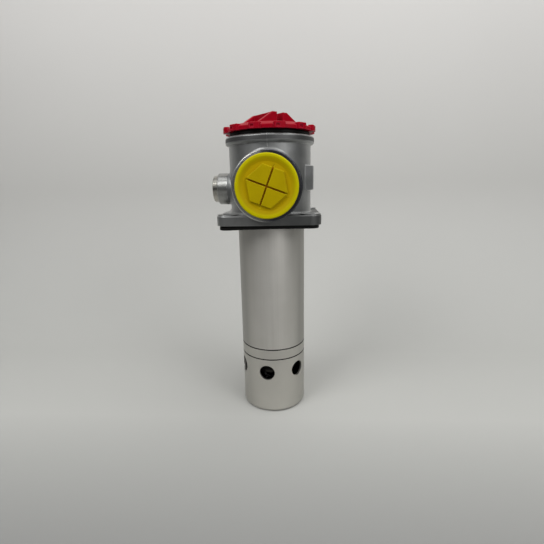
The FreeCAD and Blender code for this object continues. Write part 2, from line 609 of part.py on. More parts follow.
rib_from = V(-CAP_RIB_WIDE / 2, CAP_BOSS_R - PAST / 2, Z_CAP_FLOOR - CAP_RIB_TALL)
rib = Part.makeBox(CAP_RIB_WIDE, rib_long, CAP_RIB_TALL, rib_from)
ribs = repeated(rib, CAP_RIB_COUNT, LUG_AZ + 180.0 / CAP_RIB_COUNT)

# Cap: grip lugs on the rim, each with a small pocket
lug_r = CAP_RIM_R + LUG_OUT
lug_low = Z_RIM - LUG_DROP
lug_top = lug_low + LUG_TALL
lug = Part.makeBox(LUG_WIDE, lug_r - SEAL_OUT_R - LUG_CLEAR, LUG_TALL, V(-LUG_WIDE / 2, -lug_r, lug_low))
lug = lug.makeFillet(LUG_ROUND, [k for k in lug.Edges if k.BoundBox.ZLength > 1 and k.BoundBox.YMax < -lug_r + 0.01])
outer_top = [k for k in lug.Edges if k.BoundBox.ZMin > lug_top - 0.01 and k.BoundBox.YMax < -lug_r + LUG_ROUND + 0.1]
lug = lug.makeFillet(LUG_EDGE, outer_top)
pocket_low = lug_low + 0.5 * (LUG_TALL - LUG_EDGE - LUG_POCKET_TALL)
pocket_from = V(-LUG_POCKET / 2 - LUG_POCKET_SHIFT, -lug_r, pocket_low)
lug = lug.cut(Part.makeBox(LUG_POCKET, LUG_POCKET_DEEP, LUG_POCKET_TALL, pocket_from))

# Cap: grip of two walls with a slot between them for a bar, each wall on a sloped gusset at both its ends
z_grip = Z_DOME + GRIP_RISE
z_root = Z_DOME - GRIP_ROOT_DEEP
wall_in = GRIP_SLOT / 2
wall_out = wall_in + GRIP_WALL
end_y = -GRIP_LONG / 2
profile = [V(wall_in, end_y, z_root), V(wall_in, end_y, z_grip), V(wall_out, end_y, z_grip),
           V(GRIP_FOOT, end_y, z_root)]
gusset = Part.Face(Part.makePolygon(profile + [profile[0]])).extrude(V(0, GRIP_GUSSET, 0))
far_gusset = gusset.copy()
far_gusset.translate(V(0, GRIP_LONG - GRIP_GUSSET, 0))
wall = Part.makeBox(GRIP_WALL, GRIP_LONG, z_grip - z_root, V(wall_in, end_y, z_root))
wall = joined([wall, gusset, far_gusset])
wall = wall.makeFillet(GRIP_EDGE, [k for k in wall.Edges if k.BoundBox.ZMax > z_root + GRIP_EDGE])
cap = joined([cap, boss] + ribs + repeated(lug, LUG_COUNT, LUG_AZ) + repeated(wall, 2, GRIP_AZ))
save(cap, "cap")
cap_seal = ring(SEAL_OUT_R, SEAL_IN_R, Z_LIP, Z_RIM)
outer = circles(cap_seal, SEAL_OUT_R, Z_LIP) + circles(cap_seal, SEAL_OUT_R, Z_RIM)
cap_seal = cap_seal.makeFillet(CAP_SEAL_ROUND, outer)
save(cap_seal, "cap_seal")

# Outlet plug: flanged plastic plug with a slotted hexagon in its dish
face = PORT_REACH + PLUG_FLANGE_THICK
dish = face - PLUG_DISH
hex_top = dish + PLUG_HEX_RISE
shank_r = PORT_THREAD_R - RUN_FIT
end = PORT_REACH - PLUG_SHANK
plug = turned([(0, PORT_REACH - PLUG_LEAD), (0, dish), (PLUG_HEX_R + PLUG_DISH_FLAT, dish),
               (PLUG_FLANGE_R - PLUG_RIM, face), (PLUG_FLANGE_R - PLUG_EDGE, face), (PLUG_FLANGE_R, face - PLUG_EDGE),
               (PLUG_FLANGE_R, PORT_REACH), (shank_r, PORT_REACH), (shank_r, end + PLUG_LEAD),
               (shank_r - PLUG_LEAD, end), (shank_r - PLUG_WALL, end), (shank_r - PLUG_WALL, PORT_REACH - PLUG_LEAD)])
nut = prism(hexagon(PLUG_HEX_R), PORT_REACH, hex_top)
nut = nut.makeFillet(PLUG_HEX_EDGE, [k for k in nut.Edges if k.BoundBox.ZMin > hex_top - 0.01])
slot_low = hex_top - PLUG_SLOT_DEPTH
slot = Part.makeBox(2 * PLUG_HEX_R, PLUG_SLOT, PLUG_SLOT_DEPTH, V(-PLUG_HEX_R, -PLUG_SLOT / 2, slot_low))
slots = slot.fuse(around(slot, 90)).common(rod(PLUG_HEX_R, slot_low, hex_top))
plug = around(joined([plug, nut]).cut(slots), PLUG_HEX_AZ)
save(forward(plug, Z_PORT), "outlet_plug")

# Indicator plug: steel screw plug with a hexagon socket, on a sealing washer
washer = ring(SENSE_COLLAR_R + WASHER_OVER, SENSE_THREAD_R + WASHER_CLEAR, SENSE_REACH, SENSE_REACH + WASHER_THICK)
save(leftward(washer, Z_SENSE), "indicator_washer")
collar = SENSE_REACH + WASHER_THICK
collar_top = collar + SENSE_COLLAR
screw_end = SENSE_REACH - SENSE_SHANK
screw = turned([(0, screw_end), (SENSE_THREAD_R - SENSE_EDGE, screw_end), (SENSE_THREAD_R, screw_end + SENSE_EDGE),
                (SENSE_THREAD_R, collar), (SENSE_COLLAR_R, collar), (SENSE_COLLAR_R, collar_top - PLUG_EDGE),
                (SENSE_COLLAR_R - PLUG_EDGE, collar_top), (0, collar_top)])
key = prism(hexagon(SENSE_KEY_AF / math.sqrt(3.0)), collar_top - SENSE_KEY_DEPTH, collar_top + PAST)
save(leftward(screw.cut(key), Z_SENSE), "indicator_plug")
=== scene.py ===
import math

import bmesh
import bpy
import numpy as np
from bpy.props import FloatProperty, FloatVectorProperty, IntProperty, PointerProperty
from mathutils import Matrix, Vector


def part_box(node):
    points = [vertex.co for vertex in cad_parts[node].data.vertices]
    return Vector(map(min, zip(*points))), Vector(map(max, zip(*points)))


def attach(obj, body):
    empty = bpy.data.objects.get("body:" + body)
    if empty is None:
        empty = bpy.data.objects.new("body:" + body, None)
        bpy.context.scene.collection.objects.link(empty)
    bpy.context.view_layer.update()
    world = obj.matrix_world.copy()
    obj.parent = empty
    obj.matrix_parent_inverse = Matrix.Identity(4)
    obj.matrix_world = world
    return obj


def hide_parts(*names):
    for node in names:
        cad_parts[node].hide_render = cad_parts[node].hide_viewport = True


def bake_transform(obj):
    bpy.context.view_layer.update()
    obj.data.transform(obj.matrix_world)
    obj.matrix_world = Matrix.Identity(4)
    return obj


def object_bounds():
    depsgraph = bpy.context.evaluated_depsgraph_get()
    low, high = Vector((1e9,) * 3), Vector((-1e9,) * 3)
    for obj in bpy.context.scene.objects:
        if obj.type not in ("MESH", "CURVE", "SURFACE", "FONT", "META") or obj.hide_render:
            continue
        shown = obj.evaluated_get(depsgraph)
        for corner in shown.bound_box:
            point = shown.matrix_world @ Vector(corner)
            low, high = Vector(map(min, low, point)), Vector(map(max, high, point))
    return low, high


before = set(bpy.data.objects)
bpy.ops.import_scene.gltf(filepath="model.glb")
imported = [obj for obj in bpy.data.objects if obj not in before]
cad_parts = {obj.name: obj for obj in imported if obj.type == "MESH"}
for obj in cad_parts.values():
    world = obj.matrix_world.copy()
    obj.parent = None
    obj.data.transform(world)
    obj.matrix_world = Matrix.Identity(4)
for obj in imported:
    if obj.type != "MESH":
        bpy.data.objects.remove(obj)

bl_info = {
    "name": "Suction filter",
    "version": (1, 0, 0),
    "blender": (4, 5, 0),
    "location": "3D View > Sidebar > Filter",
    "description": "Finishes and fine parts of a tank-top suction filter",
    "category": "Object",
}

CAD_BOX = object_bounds()
MM = 0.001

# Places on the frame, in metres: the axes and faces of the two ports, the bead's top and the joint lines
PORT_Z = 0.0355
PORT_FACE = -0.054
SENSE_Z = 0.0335
SENSE_FACE = -0.0485
BEAD_TOP = 0.0778
JOINTS = (-0.1174, -0.1276)

# In metres: how far behind its face each cut finish goes, and half the height of the oil line in a joint
PORT_CUT, SENSE_CUT, BEAD_CUT = 0.0009, 0.0095, 0.0001
OIL_LINE = 0.0006

# Where finishes and painted light begin and end, in millimetres: painted shade on the flange and under the
# bead's top, painted shade and a painted highlight on the outlet's rim, painted light and shade on the outlet
# plug and painted shade in the cup's bore. The painted highlight on the outlet's rim is an angle left of its
# top, and begins and is full at two cosines of the angle from its middle
FLANGE_TOP = 12.0
FLANGE_SHADE_SPAN = (-15, 25)
BEAD_SHADE_AT, BEAD_SHADE_HALF = 74.6, 1.6
RIM_DEPTH = (-52.0, -52.6)
RIM_SHADE_SPAN = (-14, 4)
RIM_HIGHLIGHT_ANGLE = math.radians(25)
RIM_HIGHLIGHT_FADE = {"From_Min": 0.95, "From_Max": 0.99}
PLUG_RIM_LIGHT = (21.5, 24.5)
PLUG_DISH_SHADE = (-56.2, -55.2)
PLUG_SLOT_SHADE = (-57.0, -56.0)
PLUG_HEX = 15.6
CUP_BORE_SHADE = (30.2, 29.0)

# The middle part of a noise's range, which holds most of it
NOISE = {"From_Min": 0.35, "From_Max": 0.65}

# A thread's directions as XYZ numbers: the two across its axis and the one along it
ALONG_X, ALONG_Y, ALONG_Z = (1, 2, 0), (0, 2, 1), (0, 1, 2)

# Threads, in millimetres: pitches, and the stretch along the axis and the radii between which each one shows
PORT_PITCH, SENSE_PITCH = 2.0, 1.5
HEAD_THREAD = (63, 76.5), (32.6, 33.4)
CAP_THREAD = (65.3, 77.2), (32.5, 33.5)
PORT_THREAD = (-53, -34), (19, 21.5)
PORT_PLUG_THREAD = (-53, -40.8), (20.2, 21.4)
SENSE_THREAD = (-47.5, -36.5), (8, 9.5)
SENSE_PLUG_THREAD = (-48.3, -39), (8.5, 9.3)

# The mould's parting line as (distance out, height) in millimetres: up the bead, and from the flange at the
# back; its ridge stands SEAM_PROUD metres off the metal
SEAM_FRONT = ((37.2, 66.4), (37.42, 67.2), (37.42, 70.1), (38.3, 70.9), (39.6, 71.3), (40.28, 72.6),
              (40.3, 76.0), (39.9, 77.2), (39.2, 77.65))
SEAM_BACK = ((42.6, 11.6), (40.6, 12.0), (39.2, 14.9), (37.42, 17.4), *SEAM_FRONT[2:])
SEAM_PROUD = 0.00035

# The gasket, in metres: the place and radius of a bolt hole, the tube's hole, the corners of the outline and
# the rounding of the cut edge. Its hanging corner starts to fall at DROOP_FROM and has fallen after another
# DROOP_LENGTH, both the sum of the distances from the middle along the two sides, in half widths
GASKET_BOLT = 0.03535
GASKET_HOLE = 0.0045
GASKET_BORE = 0.0321
GASKET_CORNER = 0.0075
GASKET_CUT_EDGE = 0.0003
DROOP_FROM, DROOP_LENGTH = 0.7, 1.1

# The section of the cap's ring: its depth, the run of its slanted lips and its rounding in metres, and the
# lips' share of its height
RING_DEPTH, RING_LIP, RING_ROUND = 0.0039, 0.00055, 0.0004
RING_LIP_RISE = 0.3

# The springs' wires in metres, and the mesh's wires: how many are drawn round it and how far apart in mm
VALVE_WIRE, BYPASS_WIRE = 0.0018, 0.001
WARP_WIRES, WEFT_STEP = 130.0, 1.2

# The stage, in metres: the floor's front edge, the start and radius of the bend, the wall's top, half the
# width, and the height over which the floor's painted shade turns into the wall's colour; the stretch over
# which painted shade darkens the floor towards the front is in millimetres
STAGE_FRONT, STAGE_BEND, STAGE_RADIUS, STAGE_TOP, STAGE_SIDE = -2.0, 0.1, 0.22, 2.2, 2.5
WALL_FADE = 0.55
FLOOR_SHADE_SPAN = (-40, -200)

# The soft lamps, by the name of their power's setting: place and side length in metres
LAMPS = {"key": ((-0.55, -0.55, 0.62), 0.5), "fill": ((0.5, -0.85, 0.35), 0.7),
         "side": ((0.75, -0.6, 0.5), 0.4), "top": ((0.3, -0.15, 0.95), 0.9)}

# The camera: its place in millimetres, how far it looks to the left of +Y and how far down
CAMERA_PLACE = (20.03, -352.2, 37.7)
CAMERA_TURN = math.radians(3.3)
CAMERA_TILT = math.radians(13.64)


# Colours and nodes
def linear(code, alpha=1.0):
    """sRGB hex to linear light: below 0.04045 a straight line, above it a power of 2.4."""
    c = np.array([int(code[i:i + 2], 16) for i in (1, 3, 5)]) / 255.0
    c = np.where(c <= 0.04045, c / 12.92, ((c + 0.055) / 1.055) ** 2.4)
    return (*c.tolist(), alpha)


def per(mm):
    """Texture scale of a pattern whose features are this many millimetres across."""
    return 1.0 / (mm * MM)


def waves(mm):
    """Scale of a wave texture with one ridge every so many millimetres; its own period is pi / 10."""
    return math.pi / 10 / (mm * MM)


def add(tree, kind, links=None, **settings):
    """Adds a node. Settings go to its inputs or to the node itself, links to inputs by name or number.

    A link's value may be a number or a colour instead of a socket.
    """
    made = tree.nodes.new("ShaderNode" + kind)
    for key, value in settings.items():
        socket = made.inputs.get(key.replace("_", " "))
        if socket is None:
            setattr(made, key, value)
        else:
            socket.default_value = value
    for key, value in (links or {}).items():
        if isinstance(value, bpy.types.NodeSocket):
            tree.links.new(value, made.inputs[key])
        else:
            made.inputs[key].default_value = value
    return made


def begin(name):
    """A new material, its empty tree and the piece's own Object coordinates."""
    made = bpy.data.materials.new(name)
    made.use_nodes = True
    made.node_tree.nodes.clear()
    return made, made.node_tree, add(made.node_tree, "TexCoord").outputs["Object"]


def close(tree, links, height, edge, depth, **settings):
    """Ends a material: corners rounded by edge mm, height raised by depth mm, and the shader on top."""
    corner = add(tree, "Bevel", Radius=edge * MM, samples=6).outputs[0]
    bump = add(tree, "Bump", {"Height": height, "Normal": corner}, Distance=depth * MM).outputs[0]
    shader = add(tree, "BsdfPrincipled", {"Normal": bump, **links}, **settings)
    add(tree, "OutputMaterial", {"Surface": shader.outputs[0]})


def layered(tree, colour, *coats):
    """A colour under coats, each a (mask, colour) that shows where its mask is 1."""
    for mask, coat in coats:
        colour = add(tree, "Mix", {0: mask, 6: colour, 7: coat}, data_type="RGBA").outputs[2]
    return colour


def glancing(tree, near=0, away=60):
    """Mask: 0 where the surface is turned from the eye by near degrees or less, 1 where by away or more."""
    facing = add(tree, "LayerWeight", Blend=0.5).outputs["Facing"]
    low, high = (1 - math.cos(math.radians(angle)) for angle in (near, away))
    return add(tree, "MapRange", {0: facing}, From_Min=low, From_Max=high).outputs[0]


def edge_highlight(tree, edge):
    """Mask where a painted highlight goes: how far the surface lies on an edge, from how little the true and
    rounded normals agree.

    Their dot product is 1 on the flat and falls along an edge, within edge mm of it.
    """
    corner = add(tree, "Bevel", Radius=edge * MM, samples=6).outputs[0]
    flat = add(tree, "NewGeometry").outputs["Normal"]
    dot = add(tree, "VectorMath", {0: corner, 1: flat}, operation="DOT_PRODUCT").outputs["Value"]
    return add(tree, "MapRange", {"Value": dot}, From_Min=0.995, From_Max=0.86).outputs[0]


def reach(tree, x, y):
    """Distance from an axis, the root of x squared plus y squared."""
    squares = [add(tree, "Math", {0: side, 1: side}, operation="MULTIPLY").outputs[0] for side in (x, y)]
    total = add(tree, "Math", {0: squares[0], 1: squares[1]}).outputs[0]
    return add(tree, "Math", {0: total, 1: 0.5}, operation="POWER").outputs[0]


def ramp(tree, value, low, high):
    """Mask: 0 where value is low, 1 where it is high, even between; low and high in millimetres."""
    return add(tree, "MapRange", {0: value}, From_Min=low * MM, From_Max=high * MM).outputs[0]


def thread(tree, height, place, axis, pitch, stretch, radii, tall):
    """A height with a screw thread on it, tall times the bump's depth. axis is one of the ALONG values.

    A triangle wave of (distance along) / pitch + turn / 360, kept to a stretch along the axis and between two
    radii, all in millimetres.
    """
    parts = add(tree, "SeparateXYZ", {0: place}).outputs
    x, y, along = (parts[i] for i in axis)
    turn = add(tree, "Math", {0: y, 1: x}, operation="ARCTAN2").outputs[0]
    turn = add(tree, "Math", {0: turn, 1: 2 * math.pi}, operation="DIVIDE").outputs[0]
    run = add(tree, "Math", {0: along, 1: 1 / (pitch * MM), 2: turn}, operation="MULTIPLY_ADD").outputs[0]
    wave = add(tree, "Math", {0: run, 1: 0.5}, operation="PINGPONG").outputs[0]
    for source, limits in ((along, stretch), (reach(tree, x, y), radii)):
        for limit, side in zip(limits, ("GREATER_THAN", "LESS_THAN")):
            keep = add(tree, "Math", {0: source, 1: limit * MM}, operation=side).outputs[0]
            wave = add(tree, "Math", {0: wave, 1: keep}, operation="MULTIPLY").outputs[0]
    return add(tree, "Math", {0: wave, 1: 2 * tall, 2: height}, operation="MULTIPLY_ADD").outputs[0]


def finish(material, *nodes):
    """Gives CAD nodes their material, in all of their slots."""
    for node in nodes:
        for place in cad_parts[node].material_slots:
            place.material = material


# Surfaces
def quads(index):
    """Four-cornered faces between the neighbours in a grid of point numbers."""
    corners = (index[:-1, :-1], index[:-1, 1:], index[1:, 1:], index[1:, :-1])
    return np.stack(corners, axis=-1).reshape(-1, 4).tolist()


def surface(name, grids, material, body, around=True, along=False, capped=False):
    """Quads over grids of points, the second direction closed if around, the first if along.

    capped fills the first and last row with one face each. Points of several grids that meet are merged, and
    the faces are turned outwards.
    """
    mesh = bpy.data.meshes.new(name)
    points, faces, start = [], [], 0
    for grid in grids:
        rows, columns = grid.shape[:2]
        index = start + np.arange(rows * columns).reshape(rows, columns)
        if capped:
            faces += [index[0].tolist(), index[-1].tolist()]
        if along:
            index = np.vstack([index, index[:1]])
        if around:
            index = np.hstack([index, index[:, :1]])
        faces += quads(index)
        points.append(grid.reshape(-1, 3))
        start += rows * columns
    mesh.from_pydata(np.concatenate(points), [], faces)
    mesh.polygons.foreach_set("use_smooth", np.ones(len(faces), bool))
    work = bmesh.new()
    work.from_mesh(mesh)
    bmesh.ops.remove_doubles(work, verts=work.verts, dist=0.01 * MM)
    bmesh.ops.recalc_face_normals(work, faces=work.faces)
    work.to_mesh(mesh)
    work.free()
    mesh.update()
    made = bpy.data.objects.new(name, mesh)
    bpy.context.scene.collection.objects.link(made)
    mesh.materials.append(material)
    if body:
        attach(made, body)
    return made


def rounded(corners, radius, steps=6):
    """A closed outline of straight sides with each corner (across, up) replaced by an arc.

    The arc of that radius touches both sides. Its centre is radius / sin(half the corner) along the middle
    line, and its points are spread evenly between its ends and then moved out to the radius.
    """
    corners = np.array(corners, float)
    back = np.roll(corners, 1, axis=0) - corners
    ahead = np.roll(corners, -1, axis=0) - corners
    back /= np.linalg.norm(back, axis=1, keepdims=True)
    ahead /= np.linalg.norm(ahead, axis=1, keepdims=True)
    middle = back + ahead
    middle /= np.linalg.norm(middle, axis=1, keepdims=True)
    sine = np.sqrt((1 - (back * ahead).sum(axis=1, keepdims=True)) / 2)
    centre = corners + middle * radius / sine
    cosine = np.sqrt(1 - sine ** 2)
    first = corners + back * radius * cosine / sine - centre
    last = corners + ahead * radius * cosine / sine - centre
    share = np.linspace(0, 1, steps)[None, :, None]
    arc = first[:, None] * (1 - share) + last[:, None] * share
    arc *= radius / np.linalg.norm(arc, axis=2, keepdims=True)
    return (centre[:, None] + arc).reshape(-1, 2)


def ring(name, section, material, body, steps=180):
    """A closed section (radius, height) carried once round the Z axis."""
    turn = np.linspace(0, 2 * math.pi, steps, endpoint=False)[:, None]
    r, z = section[:, 0], section[:, 1]
    grid = np.stack([np.cos(turn) * r, np.sin(turn) * r, z + 0 * turn], axis=-1)
    return surface(name, [grid], material, body, along=True)


def spring(name, node, wire, turns, material, steps=56, sides=14):
    """A round wire on a helix between the ends of the CAD spring's box, with a dead coil at each end.

    The height rises by one wire in the first and the last turn and evenly between them. Each ring of the wire
    stands square to the helix: one direction is outward, the other the cross product of the run and that.
    steps is the number of rings in a turn, sides the number of points in a ring.
    """
    low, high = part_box(node)
    radius = (high.x - low.x - wire) / 2
    t = np.linspace(0, turns, int(turns * steps) + 1)
    pitch = (high.z - low.z - 3 * wire) / (turns - 2)
    z = low.z + wire / 2 + wire * (np.minimum(t, 1) + np.maximum(t - turns + 1, 0))
    z = z + pitch * np.clip(t - 1, 0, turns - 2)
    out = np.stack([np.cos(2 * math.pi * t), np.sin(2 * math.pi * t), 0 * t], axis=-1)
    path = out * radius + np.stack([0 * z, 0 * z, z], axis=-1)
    run = np.gradient(path, axis=0)
    run /= np.linalg.norm(run, axis=1, keepdims=True)
    up = np.cross(run, out)
    angle = np.linspace(0, 2 * math.pi, sides, endpoint=False)[None, :, None]
    grid = path[:, None] + wire / 2 * (np.cos(angle) * out[:, None] + np.sin(angle) * up[:, None])
    made = surface(name, [grid], material, None, capped=True)
    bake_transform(made)
    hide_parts(node)


def gasket(material, droop, rays=240, rows=9):
    """The gasket as a fan of rays from each bolt hole, with a wall made by Solidify.

    Each quarter is the part of a rounded square outside the tube's hole. A ray from the bolt hole's centre
    ends at the nearest of the two middle lines, the outline and the round hole, and its points lie evenly
    from the bolt hole's edge to that end. The other quarters are its mirror images. The near left corner
    hangs by droop times the square of how far a point lies along the reach of the hanging corner.
    """
    low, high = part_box("flange_gasket")
    half, top = high.x, high.z
    bolt, hole, bore, corner = GASKET_BOLT, GASKET_HOLE, GASKET_BORE, GASKET_CORNER
    a = np.linspace(0, 2 * math.pi, rays, endpoint=False)
    c, s = np.cos(a), np.sin(a)
    far = np.full_like(a, 1.0)
    for side in (c, s):
        far = np.minimum(far, np.where(side < 0, bolt, half - bolt) / np.maximum(np.abs(side), 1e-9))
    away = bolt - (half - corner)
    lean = (c + s) * away
    round_end = -lean + np.sqrt(np.maximum(lean ** 2 - 2 * away ** 2 + corner ** 2, 0))
    cornered = np.minimum(bolt + far * c, bolt + far * s) > half - corner
    far = np.where(cornered, np.minimum(far, round_end), far)
    lean = (c + s) * bolt
    inside = lean ** 2 - 2 * bolt ** 2 + bore ** 2
    near = -lean - np.sqrt(np.maximum(inside, 0))
    far = np.where((inside > 0) & (near > 0), np.minimum(far, near), far)
    out = hole + (far - hole) * np.linspace(0, 1, rows)[:, None]
    x, y = bolt + out * c, bolt + out * s
    grids = []
    for i in (1, -1):
        for j in (1, -1):
            past = np.clip(((-i * x - j * y) / half - DROOP_FROM) / DROOP_LENGTH, 0, 1)
            grids.append(np.stack([x * i, y * j, top - droop * past ** 2], axis=-1))
    made = surface("gasket_sheet", grids, material, "housing")
    if made.data.polygons[0].normal.z < 0:
        made.data.flip_normals()
    wall = made.modifiers.new("Thickness", "SOLIDIFY")
    wall.thickness = high.z - low.z
    wall.offset = -1
    edge = made.modifiers.new("Cut edge", "BEVEL")
    edge.width = GASKET_CUT_EDGE
    edge.segments = 2
    edge.limit_method = "ANGLE"
    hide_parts("flange_gasket")


def seam(name, path, side, wide, proud, material, steps=90, sides=12):
    """A low round ridge along a path of (distance out, height) in the plane that side points along.

    Its section is an ellipse, wide across and proud high over the path, its lower half sunk in the metal. It
    thins out over twice proud at either end. steps is the number of sections, sides of the points in one.
    """
    path = np.array(path, float)
    spans = np.linalg.norm(np.diff(path, axis=0), axis=1)
    length = np.concatenate([[0], np.cumsum(spans)])
    t = np.linspace(0, length[-1], steps)
    line = np.stack([np.interp(t, length, path[:, i]) for i in (0, 1)], axis=-1)
    run = np.gradient(line, axis=0)
    run /= np.linalg.norm(run, axis=1, keepdims=True)
    out = np.stack([run[:, 1], -run[:, 0]], axis=-1)
    end = np.clip(np.minimum(t, length[-1] - t) / (2 * proud), 0.05, 1)[:, None]
    angle = np.linspace(0, 2 * math.pi, sides, endpoint=False)[None, :]
    lift = proud * end * np.sin(angle)
    across = wide / 2 * np.cos(angle) * np.ones_like(end)
    far = line[:, :1] + out[:, :1] * lift
    high = line[:, 1:] + out[:, 1:] * lift
    grid = np.stack([across, side * far, high], axis=-1)
    surface(name, [grid], material, "housing", capped=True)


# Sizes and colours a user may change
class CastingSettings(bpy.types.PropertyGroup):
    colour: FloatVectorProperty(name="Casting", description="Colour of the blasted casting",
                                subtype="COLOR", size=4, min=0, max=1, default=linear("#8B8C8B"))
    grain: FloatProperty(name="Grain", description="Width of the blasted grain in millimetres",
                         default=0.55, min=0.2, max=3)
    seam_width: FloatProperty(name="Seam", description="Width of the mould's parting line",
                              default=0.0011, min=0.0004, max=0.003, unit="LENGTH")


class TubeSettings(bpy.types.PropertyGroup):
    tube: FloatVectorProperty(name="Tube", description="Colour of the drawn tube",
                              subtype="COLOR", size=4, min=0, max=1, default=linear("#E9E6E0"))
    turned: FloatVectorProperty(name="Turned parts", description="Colour of the seat ring and the cup",
                                subtype="COLOR", size=4, min=0, max=1, default=linear("#DFDCD5"))
    feed: FloatProperty(name="Feed", description="Distance between the lathe's marks in millimetres",
                        default=0.5, min=0.1, max=2)


class CapSettings(bpy.types.PropertyGroup):
    colour: FloatVectorProperty(name="Cap", description="Colour of the moulded cap",
                                subtype="COLOR", size=4, min=0, max=1, default=linear("#A3061E"))
    # The edges' colour is a painted highlight along the cap's edges
    edge: FloatVectorProperty(name="Edges", description="Colour of the cap's rubbed edges",
                              subtype="COLOR", size=4, min=0, max=1, default=linear("#C02A44"))
    pitch: FloatProperty(name="Thread", description="Pitch of the cap's thread in millimetres",
                         default=4.0, min=1, max=8)


class PlugSettings(bpy.types.PropertyGroup):
    outlet: FloatVectorProperty(name="Outlet plug", description="Colour of the moulded outlet plug",
                                subtype="COLOR", size=4, min=0, max=1, default=linear("#B39E00"))
    steel: FloatVectorProperty(name="Plated plug", description="Colour of the plated indicator plug",
                               subtype="COLOR", size=4, min=0, max=1, default=linear("#C4C1BA"))


class SealSettings(bpy.types.PropertyGroup):
    colour: FloatVectorProperty(name="Rubber", description="Colour of the rubber seals",
                                subtype="COLOR", size=4, min=0, max=1, default=linear("#0A0A0A"))
    droop: FloatProperty(name="Droop", description="How far the gasket's free corner hangs",
                         default=0.0009, min=0, max=0.004, unit="LENGTH")


class InnerSettings(bpy.types.PropertyGroup):
    wire: FloatVectorProperty(name="Springs", description="Colour of the spring wire",
                              subtype="COLOR", size=4, min=0, max=1, default=linear("#87878A"))
    valve_turns: IntProperty(name="Valve spring turns", description="Turns of the foot valve's spring",
                             default=6, min=3, max=12)
    bypass_turns: IntProperty(name="Bypass spring turns", description="Turns of the bypass valve's spring",
                              default=4, min=3, max=12)
    mesh: FloatVectorProperty(name="Mesh", description="Colour of the woven filter mesh",
                              subtype="COLOR", size=4, min=0, max=1, default=linear("#A3A29C"))


class StageSettings(bpy.types.PropertyGroup):
    wall: FloatVectorProperty(name="Wall", description="Colour of the top of the backdrop",
                              subtype="COLOR", size=4, min=0, max=1, default=linear("#DFDDDA"))
    # The floor's colour is painted shade at the foot of the backdrop
    floor: FloatVectorProperty(name="Floor", description="Colour of the floor and the foot of the backdrop",
                               subtype="COLOR", size=4, min=0, max=1, default=linear("#B4B4B0"))
    ceiling: FloatVectorProperty(name="Ceiling", description="Colour of the light from the room's ceiling",
                                 subtype="COLOR", size=4, min=0, max=1, default=linear("#D6D8DA"))
    key: FloatProperty(name="Key lamp", description="Power of the lamp at the upper left",
                       default=4.5, min=0, subtype="POWER")
    fill: FloatProperty(name="Fill lamp", description="Power of the lamp in front",
                        default=1.8, min=0, subtype="POWER")
    side: FloatProperty(name="Side lamp", description="Power of the lamp at the upper right",
                        default=2.4, min=0, subtype="POWER")
    top: FloatProperty(name="Top lamp", description="Power of the lamp overhead",
                       default=5.0, min=0, subtype="POWER")
    lens: FloatProperty(name="Lens", description="Focal length on a 36 mm sensor",
                        default=24.15, min=10, max=200)
    roll: FloatProperty(name="Roll", description="How far the camera is turned about its own line of sight",
                        default=math.radians(1.15), unit="ROTATION")


